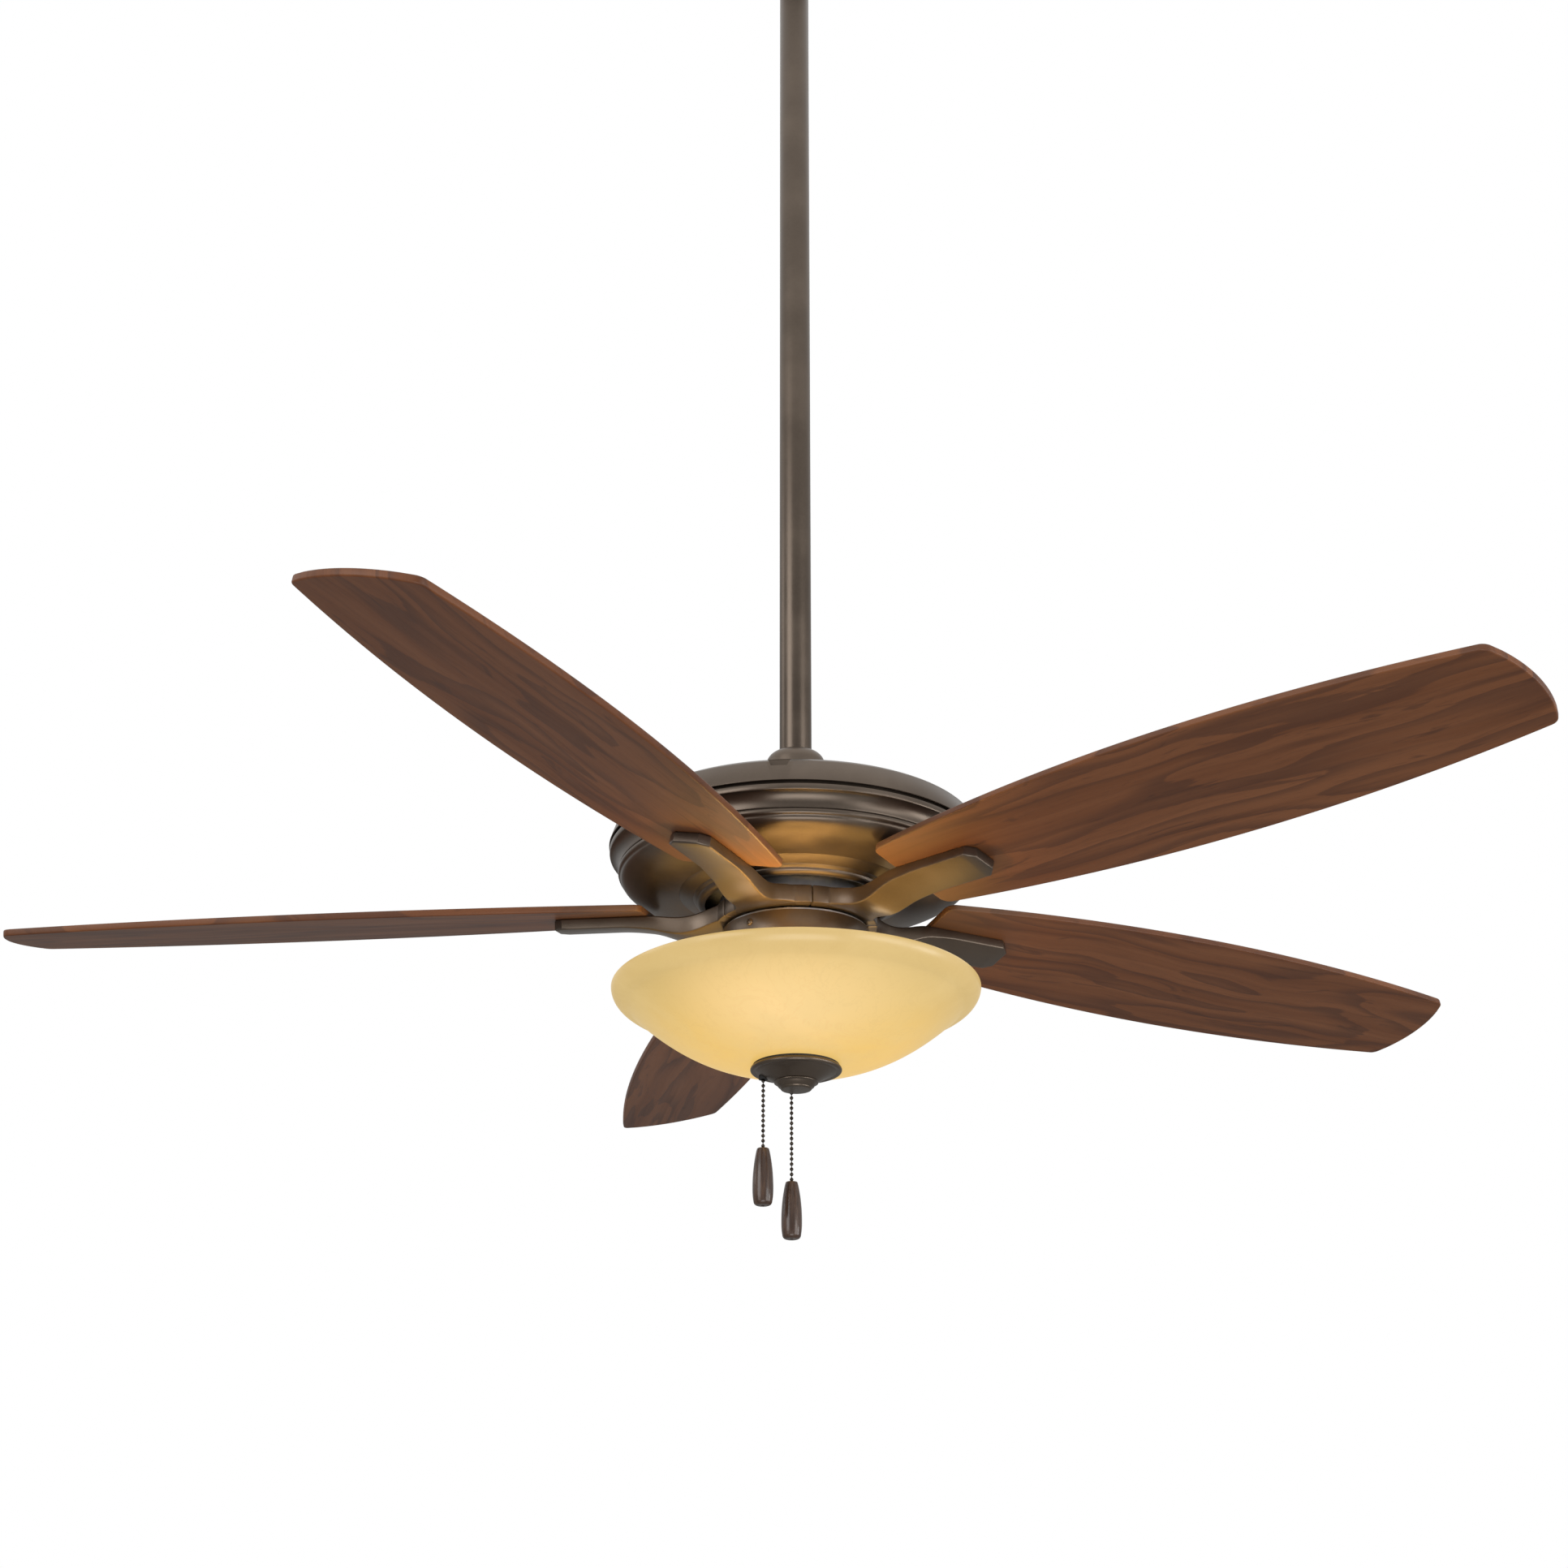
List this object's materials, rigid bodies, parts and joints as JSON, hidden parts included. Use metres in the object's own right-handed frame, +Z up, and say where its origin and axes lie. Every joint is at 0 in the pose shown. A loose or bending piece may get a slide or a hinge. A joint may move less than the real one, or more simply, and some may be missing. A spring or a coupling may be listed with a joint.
{
  "type": "ceiling fan with light",
  "caption": "Downrod ceiling fan: walnut blades on cast irons turn under a spun bronze motor housing, above a lit alabaster glass bowl with pull chains.",
  "frame": {"origin": "centre of the hanger bracket's top face, in the plane of the ceiling, on the fan's axis", "axes": "+Z up into the ceiling along the fan's axis; +X to the right and +Y away, seen from the front; the box screws lie along X"},
  "size_m": [1.2448, 1.2606, 1.2899],
  "materials": {
    "bronze": "satin oil-rubbed bronze",
    "walnut": "satin walnut veneer with dark red-brown edges",
    "fob_wood": "dark gloss walnut",
    "alabaster_glass": "frosted amber alabaster",
    "bulb_glass": "soft white",
    "zinc_steel": "zinc plated",
    "nylon": "moulded",
    "cast_collar": "cast, black",
    "laminated_steel": "stacked laminations",
    "copper_wire": "enamelled copper",
    "cast_alloy": "die cast",
    "black_plastic": "moulded",
    "white_enamel": "gloss white",
    "porcelain": "glazed",
    "brass": "satin",
    "black_rubber": "matte",
    "chain_metal": "dark bronze ball chain"
  },
  "bodies": {
    "ceiling_mount": {"ceiling_bracket": "zinc_steel", "canopy": "bronze", "canopy_screws": "bronze"},
    "fan_frame": {"hanger_ball": "nylon", "ball_pin": "zinc_steel", "downrod": "bronze", "coupling_cover": "bronze", "motor_collar": "cast_collar", "clevis_pin": "zinc_steel", "hairpin_clip": "zinc_steel", "housing_upper": "bronze", "housing_lower": "bronze", "housing_screws": "bronze", "motor_plate": "zinc_steel", "motor_shaft": "zinc_steel", "shaft_nuts": "zinc_steel", "stator_core": "laminated_steel", "windings": "copper_wire", "switch_plate": "zinc_steel", "switch_cup": "bronze", "cup_screws": "bronze", "capacitor": "black_plastic", "fan_pull_switch": "black_plastic", "light_pull_switch": "black_plastic", "reverse_switch": "black_plastic", "fitter_pan": "white_enamel", "lamp_sockets": "porcelain", "bulbs": "bulb_glass", "lamp_pipe": "brass", "glass_bowl": "alabaster_glass", "bowl_washer": "black_rubber", "finial_plate": "bronze", "finial_nut": "bronze", "chain_grommets": "black_rubber"},
    "rotor": {"upper_bearing": "zinc_steel", "lower_bearing": "zinc_steel", "rotor_ring": "laminated_steel", "rotor_shell_upper": "cast_alloy", "rotor_shell_lower": "cast_alloy", "rotor_screws": "zinc_steel", "flywheel": "cast_alloy", "blade_iron_1": "bronze", "blade_iron_2": "bronze", "blade_iron_3": "bronze", "blade_iron_4": "bronze", "blade_iron_5": "bronze", "blade_1": "walnut", "blade_2": "walnut", "blade_3": "walnut", "blade_4": "walnut", "blade_5": "walnut", "blade_screws": "bronze", "iron_screws": "zinc_steel"},
    "reverse_lever": {"reverse_slider": "black_plastic"},
    "fan_pull": {"fan_chain_inner": "chain_metal", "fan_chain": "chain_metal", "fan_fob": "fob_wood"},
    "light_pull": {"light_chain_inner": "chain_metal", "light_chain": "chain_metal", "light_fob": "fob_wood"}
  },
  "joints": [
    {"name": "ball_swing", "type": "hinge", "parent": "ceiling_mount", "child": "fan_frame", "pos_m": [0, 0, -0.04017], "axis": [0, 1, 0], "range_deg": [-20, 20]},
    {"name": "rotor_spin", "type": "hinge", "parent": "fan_frame", "child": "rotor", "pos_m": [0, 0, -1.02757], "axis": [0, 0, 1], "continuous": true},
    {"name": "reverse_slide", "type": "slide", "parent": "fan_frame", "child": "reverse_lever", "axis": [0, 0, 1], "range_m": [0, 0.006]},
    {"name": "fan_chain_pull", "type": "slide", "parent": "fan_frame", "child": "fan_pull", "axis": [0, 0, -1], "range_m": [0, 0.009], "stiffness_N_per_m": 900, "springref_m": -0.003},
    {"name": "light_chain_pull", "type": "slide", "parent": "fan_frame", "child": "light_pull", "axis": [0, 0, -1], "range_m": [0, 0.009], "stiffness_N_per_m": 900, "springref_m": -0.003}
  ]
}
